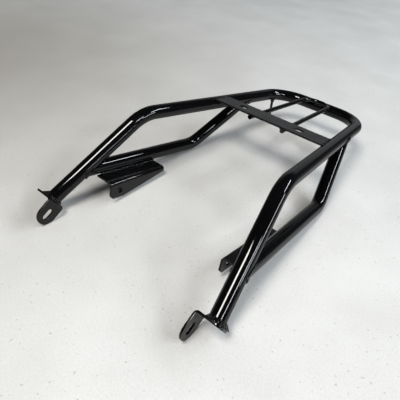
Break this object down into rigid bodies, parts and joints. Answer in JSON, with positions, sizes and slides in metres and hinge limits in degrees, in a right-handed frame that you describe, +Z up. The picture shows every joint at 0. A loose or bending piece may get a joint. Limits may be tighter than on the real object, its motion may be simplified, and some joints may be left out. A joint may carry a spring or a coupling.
{
  "type": "motorcycle luggage rack",
  "caption": "Welded steel tube rack with a closed rear loop, side stays, slotted cross plate, inner rod and bolt-on brackets.",
  "frame": {"origin": "on the floor, under the middle of the bounding box, as the rack stands on its foot tabs and the knees of its stays", "axes": "+Z up, +Y towards the closed rear end, +X towards the vehicle's left side"},
  "size_m": [0.342, 0.5841, 0.1273],
  "materials": {
    "tube_paint": "gloss black paint on tube and rod",
    "plate_paint": "gloss black paint on folded and flat sheet",
    "weld_paint": "gloss black paint over rippled weld beads"
  },
  "bodies": {
    "root": {"main_loop": "tube_paint", "left_stay": "tube_paint", "right_stay": "tube_paint", "cross_plate": "plate_paint", "u_rod": "tube_paint", "left_foot_bracket": "plate_paint", "right_foot_bracket": "plate_paint", "left_side_bracket": "plate_paint", "right_side_bracket": "plate_paint", "left_peg": "tube_paint", "right_peg": "tube_paint", "left_stay_rear_weld": "weld_paint", "right_stay_rear_weld": "weld_paint", "left_stay_front_weld": "weld_paint", "right_stay_front_weld": "weld_paint", "left_foot_weld": "weld_paint", "right_foot_weld": "weld_paint", "left_bracket_weld": "weld_paint", "right_bracket_weld": "weld_paint", "left_plate_weld": "weld_paint", "right_plate_weld": "weld_paint", "left_rod_weld": "weld_paint", "right_rod_weld": "weld_paint", "rear_rod_weld": "weld_paint", "left_peg_weld": "weld_paint", "right_peg_weld": "weld_paint"}
  },
  "joints": []
}
